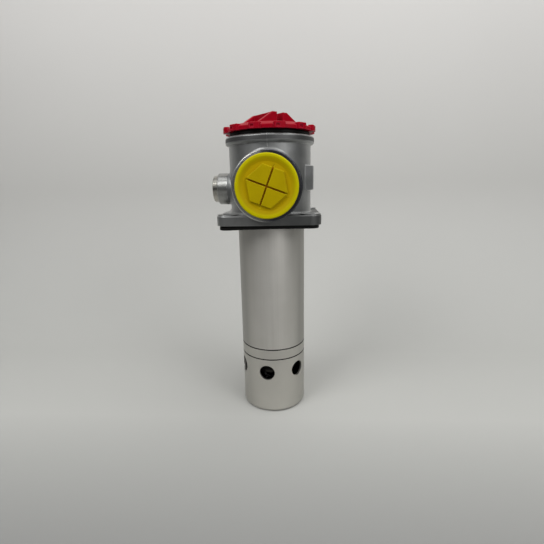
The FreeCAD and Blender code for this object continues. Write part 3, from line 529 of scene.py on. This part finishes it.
# Pieces
class FILTER_OT_casting(bpy.types.Operator):
    """Head casting: blasted aluminium with turned faces, threaded bores and the mould's parting line"""
    bl_idname = "filter.casting"
    bl_label = "Head casting"

    def execute(self, context):
        own = context.scene.filter_casting
        # Pressure-cast aluminium, blasted with bead: even satin grey, a fine grain and darker patches where
        # it was handled; the faces cut for the outlet, indicator and cap are brighter and show turning rings
        made, tree, place = begin("Blasted cast aluminium")
        x, y, z = add(tree, "SeparateXYZ", {0: place}).outputs
        # The indicator's cut stops above the flange, whose corner reaches as far out
        cut = add(tree, "Math", {0: x, 1: SENSE_FACE + SENSE_CUT}, operation="LESS_THAN").outputs[0]
        flange = add(tree, "Math", {0: z, 1: FLANGE_TOP * MM}, operation="LESS_THAN").outputs[0]
        cut = add(tree, "Math", {0: cut, 1: flange}, operation="SUBTRACT", use_clamp=True).outputs[0]
        faces = ((y, PORT_FACE + PORT_CUT, "LESS_THAN"), (z, BEAD_TOP - BEAD_CUT, "GREATER_THAN"))
        for source, limit, side in faces:
            face = add(tree, "Math", {0: source, 1: limit}, operation=side).outputs[0]
            cut = add(tree, "Math", {0: face, 1: cut}, operation="MAXIMUM").outputs[0]
        # The outlet's rim has a painted reflection: painted pale at the left, painted dark shade at the right
        # and a painted highlight left of its top, where the direction from the outlet's axis nearly agrees
        # with the highlight's angle: their dot product is lean
        rim = ramp(tree, y, *RIM_DEPTH)
        level = add(tree, "Math", {0: z, 1: PORT_Z}, operation="SUBTRACT").outputs[0]
        lean = add(tree, "Math", {0: level, 1: math.cos(RIM_HIGHLIGHT_ANGLE)}, operation="MULTIPLY").outputs[0]
        lean = add(tree, "Math", {0: x, 1: -math.sin(RIM_HIGHLIGHT_ANGLE), 2: lean},
                   operation="MULTIPLY_ADD").outputs[0]
        lean = add(tree, "Math", {0: lean, 1: reach(tree, x, level)}, operation="DIVIDE").outputs[0]
        rim_highlight = add(tree, "MapRange", {0: lean}, **RIM_HIGHLIGHT_FADE).outputs[0]
        rim_light_and_shade = layered(tree, linear("#B4B5B2"), (ramp(tree, x, *RIM_SHADE_SPAN), linear("#4C4D51")),
                             (rim_highlight, linear("#E6E5E0")))
        cut_colour = layered(tree, linear("#A3A3A0"), (rim, rim_light_and_shade))
        # Corners away from the rim get a painted highlight, a painted sheen pales the satin where it turns
        # away, painted shade lies under the bead's top, and painted shade darkens the flange's edge towards
        # the right
        patches = add(tree, "TexNoise", {"Vector": place}, Scale=per(16), Detail=3).outputs[0]
        patches = add(tree, "MapRange", {0: patches}, **NOISE).outputs[0]
        highlit = add(tree, "Mix", {0: rim, 2: edge_highlight(tree, 0.9), 3: 0.0}).outputs[0]
        # Painted shade: a darker band under the bead's top
        bead_shade = add(tree, "Math", {0: z, 1: BEAD_SHADE_AT * MM, 2: BEAD_SHADE_HALF * MM},
                    operation="COMPARE").outputs[0]
        # Painted shade: the flange's edge darker towards the right
        foot = add(tree, "Math", {0: ramp(tree, z, FLANGE_TOP, FLANGE_TOP - 0.5),
                                  1: ramp(tree, x, *FLANGE_SHADE_SPAN)}, operation="MULTIPLY").outputs[0]
        colour = layered(tree, linear("#777877"), (patches, tuple(own.colour)), (highlit, linear("#A6A7A5")),
                         (glancing(tree, 50, 85), linear("#B4B5B4")), (bead_shade, linear("#565656")),
                         (foot, linear("#5E5F5E")), (cut, cut_colour))
        # The blasted grain is about 0.1 mm, drawn at its setting so that it shows
        grain = add(tree, "TexNoise", {"Vector": place}, Scale=per(own.grain), Detail=2,
                    Roughness=0.6).outputs[0]
        port = add(tree, "Mapping", {0: place}, Location=(0, 0, -PORT_Z)).outputs[0]
        sense = add(tree, "Mapping", {0: place}, Location=(0, 0, -SENSE_Z)).outputs[0]
        # Turning rings 0.5 mm apart round the outlet, at a third of the grain's height
        rings = add(tree, "TexWave", {"Vector": port}, wave_type="RINGS", rings_direction="Y",
                    Scale=waves(0.5)).outputs["Fac"]
        rings = add(tree, "Math", {0: rings, 1: 0.3}, operation="MULTIPLY").outputs[0]
        height = add(tree, "Mix", {0: cut, 2: grain, 3: rings}).outputs[0]
        height = thread(tree, height, port, ALONG_Y, PORT_PITCH, *PORT_THREAD, tall=2)
        height = thread(tree, height, sense, ALONG_X, SENSE_PITCH, *SENSE_THREAD, tall=2)
        height = thread(tree, height, place, ALONG_Z, context.scene.filter_cap.pitch, *HEAD_THREAD, tall=4)
        rough = add(tree, "MapRange", {0: patches}, To_Min=0.48, To_Max=0.4).outputs[0]
        rough = add(tree, "Mix", {0: cut, 2: rough, 3: 0.24}).outputs[0]
        close(tree, {"Base Color": colour, "Roughness": rough}, height, edge=0.35, depth=0.07, Metallic=0.9)
        finish(made, "head_casting")
        for name, path, side in (("parting_line_front", SEAM_FRONT, -1), ("parting_line_back", SEAM_BACK, 1)):
            seam(name, np.array(path) * MM, side, own.seam_width, SEAM_PROUD, made)
        return {"FINISHED"}


class FILTER_OT_tube(bpy.types.Operator):
    """Suction tube, valve seat ring and intake cup: drawn and turned aluminium"""
    bl_idname = "filter.tube"
    bl_label = "Tube and cup"

    def execute(self, context):
        own = context.scene.filter_tube
        oily = linear("#2B2A28")
        # Drawn aluminium tube, clear anodised: warm satin grey with long faint lines along the draw
        made, tree, place = begin("Drawn aluminium, satin anodised")
        z = add(tree, "SeparateXYZ", {0: place}).outputs[2]
        # The draw lines are hairs of 0.1 mm, drawn 1.4 mm wide and 90 mm long so that they show
        lines = add(tree, "Mapping", {0: place}, Scale=(1, 1, 0.015)).outputs[0]
        lines = add(tree, "TexNoise", {"Vector": lines}, Scale=per(1.4), Detail=3).outputs[0]
        patches = add(tree, "TexNoise", {"Vector": place}, Scale=per(30), Detail=2).outputs[0]
        tone = add(tree, "Mix", {0: 0.35, 2: patches, 3: lines}).outputs[0]
        tone = add(tree, "MapRange", {0: tone}, **NOISE).outputs[0]
        # Painted shade: the tube is darker where it turns away from the eye; the joint holds oil
        oil = add(tree, "Math", {0: z, 1: JOINTS[0] + OIL_LINE}, operation="LESS_THAN").outputs[0]
        colour = layered(tree, linear("#DDDAD3"), (tone, tuple(own.tube)),
                         (glancing(tree), linear("#A8A6A1")), (oil, oily))
        rough = add(tree, "MapRange", {0: lines}, To_Min=0.4, To_Max=0.5).outputs[0]
        close(tree, {"Base Color": colour, "Roughness": rough}, lines, edge=0.3, depth=0.02, Metallic=0.9)
        finish(made, "suction_tube")

        # Turned aluminium: the same satin grey with fine level rings, with painted shade where it turns away
        # from the eye; the bore is painted near black as shade, and oil stands in the joints
        made, tree, place = begin("Turned aluminium")
        x, y, z = add(tree, "SeparateXYZ", {0: place}).outputs
        rings = add(tree, "TexWave", {"Vector": place}, bands_direction="Z", Scale=waves(own.feed),
                    Distortion=0.4, Detail=1).outputs["Fac"]
        patches = add(tree, "TexNoise", {"Vector": place}, Scale=per(22), Detail=2).outputs[0]
        # Painted shade: the cup's bore near black
        bore = ramp(tree, reach(tree, x, y), *CUP_BORE_SHADE)
        oils = [add(tree, "Math", {0: z, 1: joint, 2: OIL_LINE}, operation="COMPARE").outputs[0]
                for joint in JOINTS]
        colour = layered(tree, linear("#D3D0C9"), (patches, tuple(own.turned)),
                         (glancing(tree), linear("#BAB8B2")), (bore, linear("#0C0B0A")),
                         *((oil, oily) for oil in oils))
        close(tree, {"Base Color": colour}, rings, edge=0.3, depth=0.012, Metallic=0.95, Roughness=0.36)
        finish(made, "valve_seat_ring", "intake_cup")
        return {"FINISHED"}


class FILTER_OT_cap(bpy.types.Operator):
    """Filler cap: red moulded plastic with painted highlights along its edges and a moulded thread"""
    bl_idname = "filter.cap"
    bl_label = "Cap"

    def execute(self, context):
        own = context.scene.filter_cap
        # Glass-filled nylon, injection moulded: deep red with a fine mottled skin, painted paler along the
        # edges as a highlight
        made, tree, place = begin("Glass-filled nylon, moulded red")
        flow = add(tree, "TexNoise", {"Vector": place}, Scale=per(9), Detail=4).outputs[0]
        colour = layered(tree, linear("#8A0016"), (flow, tuple(own.colour)),
                         (edge_highlight(tree, 0.8), tuple(own.edge)))
        # The glass fibres leave a skin of about 0.2 mm, drawn 0.7 mm wide so that it shows
        skin = add(tree, "TexNoise", {"Vector": place}, Scale=per(0.7), Detail=2).outputs[0]
        height = thread(tree, skin, place, ALONG_Z, own.pitch, *CAP_THREAD, tall=6)
        rough = add(tree, "MapRange", {0: flow}, To_Min=0.42, To_Max=0.3).outputs[0]
        close(tree, {"Base Color": colour, "Roughness": rough}, height, edge=0.45, depth=0.05,
              Specular_IOR_Level=0.06)
        finish(made, "cap")
        return {"FINISHED"}


class FILTER_OT_plugs(bpy.types.Operator):
    """Outlet plug of yellow plastic, plated indicator plug and its washer"""
    bl_idname = "filter.plugs"
    bl_label = "Plugs"

    def execute(self, context):
        own = context.scene.filter_plugs
        # Polyethylene, injection moulded: waxy satin yellow with soft edges; painted light on the rim and the
        # edges, and a browner painted shade in the dish and the hexagon's slots
        made, tree, place = begin("Polyethylene, moulded yellow")
        flow = add(tree, "TexNoise", {"Vector": place}, Scale=per(11), Detail=3).outputs[0]
        centred = add(tree, "Mapping", {0: place}, Location=(0, 0, -PORT_Z)).outputs[0]
        x, y, z = add(tree, "SeparateXYZ", {0: centred}).outputs
        radius = reach(tree, x, z)
        slots = add(tree, "Math", {0: radius, 1: PLUG_HEX * MM}, operation="LESS_THAN").outputs[0]
        slots = add(tree, "Math", {0: slots, 1: ramp(tree, y, *PLUG_SLOT_SHADE)}, operation="MULTIPLY").outputs[0]
        colour = layered(tree, linear("#A08B00"), (flow, tuple(own.outlet)),
                         (ramp(tree, radius, *PLUG_RIM_LIGHT), linear("#BDB400")),
                         (ramp(tree, y, *PLUG_DISH_SHADE), linear("#B09400")), (slots, linear("#A06A00")),
                         (edge_highlight(tree, 0.7), linear("#C9B910")))
        # The moulded skin is under 0.1 mm, drawn 0.8 mm wide so that it shows
        skin = add(tree, "TexNoise", {"Vector": place}, Scale=per(0.8), Detail=2).outputs[0]
        height = thread(tree, skin, centred, ALONG_Y, PORT_PITCH, *PORT_PLUG_THREAD, tall=6)
        close(tree, {"Base Color": colour}, height, edge=0.4, depth=0.03, Roughness=0.5,
              Specular_IOR_Level=0.06)
        finish(made, "outlet_plug")

        # Turned steel, bright zinc plated: cool mirror-like rings round the axis with a faint yellow cast
        made, tree, place = begin("Turned steel, zinc plated")
        centred = add(tree, "Mapping", {0: place}, Location=(0, 0, -SENSE_Z)).outputs[0]
        rings = add(tree, "TexWave", {"Vector": centred}, wave_type="RINGS", rings_direction="X",
                    Scale=waves(0.4)).outputs["Fac"]
        patches = add(tree, "TexNoise", {"Vector": place}, Scale=per(5), Detail=3).outputs[0]
        colour = layered(tree, linear("#A8A59C"), (patches, tuple(own.steel)))
        height = thread(tree, rings, centred, ALONG_X, SENSE_PITCH, *SENSE_PLUG_THREAD, tall=15)
        close(tree, {"Base Color": colour}, height, edge=0.3, depth=0.01, Metallic=1, Roughness=0.2)
        finish(made, "indicator_plug", "indicator_washer")
        return {"FINISHED"}


class FILTER_OT_seals(bpy.types.Operator):
    """Gasket with its hanging corner, the cap's ring and the hidden rubber seals"""
    bl_idname = "filter.seals"
    bl_label = "Seals"

    def execute(self, context):
        own = context.scene.filter_seals
        # Nitrile rubber, moulded: near black with a dull bloom and a fine pebble
        made, tree, place = begin("Nitrile rubber")
        bloom = add(tree, "TexNoise", {"Vector": place}, Scale=per(7), Detail=4).outputs[0]
        colour = layered(tree, tuple(own.colour), (bloom, linear("#131312")))
        # The pebble is about 0.2 mm, drawn 0.6 mm wide so that it shows
        pebble = add(tree, "TexNoise", {"Vector": place}, Scale=per(0.6), Detail=1).outputs[0]
        rough = add(tree, "MapRange", {0: bloom}, To_Min=0.5, To_Max=0.7).outputs[0]
        close(tree, {"Base Color": colour, "Roughness": rough}, pebble, edge=0.3, depth=0.03,
              Specular_IOR_Level=0.15)
        finish(made, "flange_gasket", "cap_seal", "tube_seal", "spigot_seal", "valve_seal")
        gasket(made, own.droop)
        # The cap's ring is a flat band whose outer edge slants back to a lip above and below
        low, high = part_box("cap_seal")
        out, rise = high.x, (high.z - low.z) * RING_LIP_RISE
        corners = [(out - RING_DEPTH, low.z), (out - RING_LIP, low.z), (out, low.z + rise),
                   (out, high.z - rise), (out - RING_LIP, high.z), (out - RING_DEPTH, high.z)]
        seal = ring("cap_ring_rubber", rounded(corners, RING_ROUND), made, "cap_ring")
        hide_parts("cap_seal")
        return {"FINISHED"}


class FILTER_OT_valve(bpy.types.Operator):
    """Foot valve: turned guide and disc, ground stem, wound springs and the element's black plastic"""
    bl_idname = "filter.valve"
    bl_label = "Foot valve"

    def execute(self, context):
        own = context.scene.filter_inner
        # Turned aluminium, painted dark as the shade inside the cup: dark satin grey with fine level rings
        made, tree, place = begin("Turned aluminium, oiled")
        rings = add(tree, "TexWave", {"Vector": place}, bands_direction="Z", Scale=waves(0.5)).outputs["Fac"]
        film = add(tree, "TexNoise", {"Vector": place}, Scale=per(8), Detail=3).outputs[0]
        colour = layered(tree, linear("#252422"), (film, linear("#3C3A37")))
        close(tree, {"Base Color": colour}, rings, edge=0.3, depth=0.01, Metallic=0.9, Roughness=0.4)
        finish(made, "valve_guide", "valve_disc")

        # Black glass-filled nylon: dull black, faint flow marks
        made, tree, place = begin("Glass-filled nylon, moulded black")
        flow = add(tree, "TexNoise", {"Vector": place}, Scale=per(6), Detail=4).outputs[0]
        colour = layered(tree, linear("#0C0C0D"), (flow, linear("#1B1B1D")))
        close(tree, {"Base Color": colour}, flow, edge=0.3, depth=0.03, Roughness=0.48, IOR=1.53)
        finish(made, "element_bottom_cap", "element_top_cap", "bypass_cage", "bypass_poppet")

        # Drawn spring wire, oiled: dark bright grey with fine marks round the coil
        made, tree, place = begin("Oiled spring wire")
        marks = add(tree, "TexNoise", {"Vector": place}, Scale=per(0.8), Detail=3).outputs[0]
        colour = layered(tree, linear("#5E5E60"), (marks, tuple(own.wire)))
        close(tree, {"Base Color": colour}, marks, edge=0.1, depth=0.01, Metallic=1, Roughness=0.3)
        spring("valve_spring_wire", "valve_spring", VALVE_WIRE, own.valve_turns, made)
        spring("bypass_spring_wire", "bypass_spring", BYPASS_WIRE, own.bypass_turns, made)
        finish(made, "valve_spring", "bypass_spring")

        # Ground steel rod and clip: bright with fine level rings
        made, tree, place = begin("Ground steel rod")
        rings = add(tree, "TexWave", {"Vector": place}, bands_direction="Z", Scale=waves(0.4)).outputs["Fac"]
        colour = layered(tree, linear("#9C9B98"), (rings, linear("#B4B3AF")))
        close(tree, {"Base Color": colour}, rings, edge=0.2, depth=0.01, Metallic=1, Roughness=0.25)
        finish(made, "valve_stem", "stem_clip")
        return {"FINISHED"}


class FILTER_OT_element(bpy.types.Operator):
    """Filter element: pleated woven mesh inside a perforated jacket"""
    bl_idname = "filter.element"
    bl_label = "Filter element"

    def execute(self, context):
        own = context.scene.filter_inner
        # Woven stainless mesh: pale grey cloth of crossing wires, 0.15 mm apart but drawn at about 1.2 mm.
        # The shade is the product of one sine round the axis and one up it
        made, tree, place = begin("Woven stainless mesh")
        x, y, z = add(tree, "SeparateXYZ", {0: place}).outputs
        turn = add(tree, "Math", {0: y, 1: x}, operation="ARCTAN2").outputs[0]
        warp = add(tree, "Math", {0: turn, 1: WARP_WIRES}, operation="MULTIPLY").outputs[0]
        weft = add(tree, "Math", {0: z, 1: 2 * math.pi / (WEFT_STEP * MM)}, operation="MULTIPLY").outputs[0]
        sines = [add(tree, "Math", {0: angle}, operation="SINE").outputs[0] for angle in (warp, weft)]
        cloth = add(tree, "Math", {0: sines[0], 1: sines[1]}, operation="MULTIPLY").outputs[0]
        shade = add(tree, "MapRange", {0: cloth}, From_Min=-1.0, From_Max=1.0).outputs[0]
        colour = layered(tree, linear("#55544F"), (shade, tuple(own.mesh)))
        close(tree, {"Base Color": colour}, shade, edge=0.1, depth=0.15, Metallic=0.9, Roughness=0.38)
        finish(made, "pleated_mesh")

        # Rolled stainless sheet: bright satin with fine lines round the jacket
        made, tree, place = begin("Rolled stainless sheet")
        lines = add(tree, "Mapping", {0: place}, Scale=(0.05, 0.05, 1)).outputs[0]
        lines = add(tree, "TexNoise", {"Vector": lines}, Scale=per(0.8), Detail=2).outputs[0]
        colour = layered(tree, linear("#8F8E8A"), (lines, linear("#B2B1AD")))
        close(tree, {"Base Color": colour}, lines, edge=0.15, depth=0.01, Metallic=1, Roughness=0.32)
        finish(made, "support_jacket")
        return {"FINISHED"}


class FILTER_OT_stage(bpy.types.Operator):
    """Floor curving up into a wall, soft lamps and the camera"""
    bl_idname = "filter.stage"
    bl_label = "Stage"

    def execute(self, context):
        own = context.scene.filter_stage
        floor = CAD_BOX[0][2]
        # Painted board: matt pale grey, barely uneven; the floor and the backdrop's foot are painted darker
        # as shade, most of all towards the front
        made, tree, place = begin("Matt painted board")
        parts = add(tree, "SeparateXYZ", {0: place}).outputs
        cloud = add(tree, "TexNoise", {"Vector": place}, Scale=per(260), Detail=2).outputs[0]
        wall = layered(tree, linear("#D8D6D3"), (cloud, tuple(own.wall)))
        lift = add(tree, "MapRange", {0: parts["Z"]}, From_Min=floor, From_Max=floor + WALL_FADE).outputs[0]
        # Painted shade: the floor darker towards the front
        near = ramp(tree, parts["Y"], *FLOOR_SHADE_SPAN)
        colour = layered(tree, tuple(own.floor), (lift, wall), (near, linear("#828280")))
        tooth = add(tree, "TexNoise", {"Vector": place}, Scale=per(1.5), Detail=1).outputs[0]
        close(tree, {"Base Color": colour}, tooth, edge=0.1, depth=0.02, Roughness=0.85)
        # The profile is a floor, a quarter circle and a wall, drawn out sideways; the bend starts on a
        # doubled row of points, which keeps the floor's shading flat
        bend = np.linspace(0, math.pi / 2, 24)
        y = np.concatenate([[STAGE_FRONT, STAGE_BEND], STAGE_BEND + STAGE_RADIUS * np.sin(bend),
                            [STAGE_BEND + STAGE_RADIUS]])
        z = np.concatenate([[0, 0], STAGE_RADIUS - STAGE_RADIUS * np.cos(bend), [STAGE_TOP]]) + floor
        x = np.linspace(-STAGE_SIDE, STAGE_SIDE, 9)[:, None]
        grid = np.stack([x + 0 * y, y + 0 * x, z + 0 * x], axis=-1)
        rows, columns = grid.shape[:2]
        index = np.arange(rows * columns).reshape(rows, columns)
        mesh = bpy.data.meshes.new("backdrop")
        mesh.from_pydata(grid.reshape(-1, 3), [], quads(index.T))
        mesh.polygons.foreach_set("use_smooth", np.ones(len(mesh.polygons), bool))
        mesh.materials.append(made)
        backdrop = bpy.data.objects.new("backdrop", mesh)
        context.scene.collection.objects.link(backdrop)

        # Each lamp looks at the frame's origin, just under the flange
        for name, (where, size) in LAMPS.items():
            lamp = bpy.data.lights.new(f"{name}_lamp", "AREA")
            lamp.size = size
            lamp.energy = getattr(own, name)
            thing = bpy.data.objects.new(f"{name}_lamp", lamp)
            thing.location = where
            thing.rotation_euler = (-Vector(where)).to_track_quat("-Z", "Y").to_euler()
            context.scene.collection.objects.link(thing)
        # A dim room lit from its ceiling: dark at eye level, pale overhead
        world = bpy.data.worlds.new("Room")
        world.use_nodes = True
        room = world.node_tree
        height = add(room, "SeparateXYZ", {0: add(room, "TexCoord").outputs["Generated"]}).outputs[2]
        height = add(room, "MapRange", {0: height}, From_Min=0.05, From_Max=0.75).outputs[0]
        # Past the floor's edges the eye sees a plain pale room instead
        seen = add(room, "LightPath").outputs["Is Camera Ray"]
        colour = layered(room, linear("#3C3D3F"), (height, tuple(own.ceiling)), (seen, linear("#D9D9D7")))
        room.links.new(colour, room.nodes["Background"].inputs["Color"])
        room.nodes["Background"].inputs["Strength"].default_value = 0.7
        context.scene.world = world
        context.scene.view_settings.view_transform = "Standard"

        # The camera's directions: ahead is +Y tilted down and turned about Z, and right and up are then
        # rolled about ahead
        turn = Matrix.Rotation(CAMERA_TURN, 3, "Z")
        ahead = turn @ Vector((0, math.cos(CAMERA_TILT), -math.sin(CAMERA_TILT)))
        level = turn @ Vector((1, 0, 0))
        upward = turn @ Vector((0, math.sin(CAMERA_TILT), math.cos(CAMERA_TILT)))
        right = math.cos(own.roll) * level - math.sin(own.roll) * upward
        up = math.sin(own.roll) * level + math.cos(own.roll) * upward
        lens = bpy.data.cameras.new("camera")
        lens.lens = own.lens
        camera = bpy.data.objects.new("camera", lens)
        pose = Matrix((right, up, -ahead)).transposed().to_4x4()
        pose.translation = Vector(CAMERA_PLACE) * MM
        camera.matrix_world = pose
        context.scene.collection.objects.link(camera)
        context.scene.camera = camera
        return {"FINISHED"}


class FILTER_PT_panel(bpy.types.Panel):
    """Sidebar list of the pieces and the stage"""
    bl_idname = "FILTER_PT_panel"
    bl_label = "Suction filter"
    bl_space_type = "VIEW_3D"
    bl_region_type = "UI"
    bl_category = "Filter"

    def draw(self, context):
        for piece, settings in PIECES:
            box = self.layout.box()
            box.operator(piece.bl_idname)
            own = getattr(context.scene, settings)
            for key in own.bl_rna.properties.keys():
                if key not in ("rna_type", "name"):
                    box.prop(own, key)


SETTINGS = {"filter_casting": CastingSettings, "filter_tube": TubeSettings, "filter_cap": CapSettings,
            "filter_plugs": PlugSettings, "filter_seals": SealSettings, "filter_inner": InnerSettings,
            "filter_stage": StageSettings}
PIECES = ((FILTER_OT_casting, "filter_casting"), (FILTER_OT_tube, "filter_tube"),
          (FILTER_OT_cap, "filter_cap"), (FILTER_OT_plugs, "filter_plugs"), (FILTER_OT_seals, "filter_seals"),
          (FILTER_OT_valve, "filter_inner"), (FILTER_OT_element, "filter_inner"),
          (FILTER_OT_stage, "filter_stage"))
CLASSES = (*SETTINGS.values(), *(piece for piece, _ in PIECES), FILTER_PT_panel)


def register():
    for each in CLASSES:
        bpy.utils.register_class(each)
    for name, kind in SETTINGS.items():
        setattr(bpy.types.Scene, name, PointerProperty(type=kind))


def unregister():
    for name in SETTINGS:
        delattr(bpy.types.Scene, name)
    for each in reversed(CLASSES):
        bpy.utils.unregister_class(each)


def main():
    register()
    bpy.ops.filter.casting()
    bpy.ops.filter.tube()
    bpy.ops.filter.cap()
    bpy.ops.filter.plugs()
    bpy.ops.filter.seals()
    bpy.ops.filter.valve()
    bpy.ops.filter.element()
    bpy.ops.filter.stage()


if __name__ == "__main__":
    main()
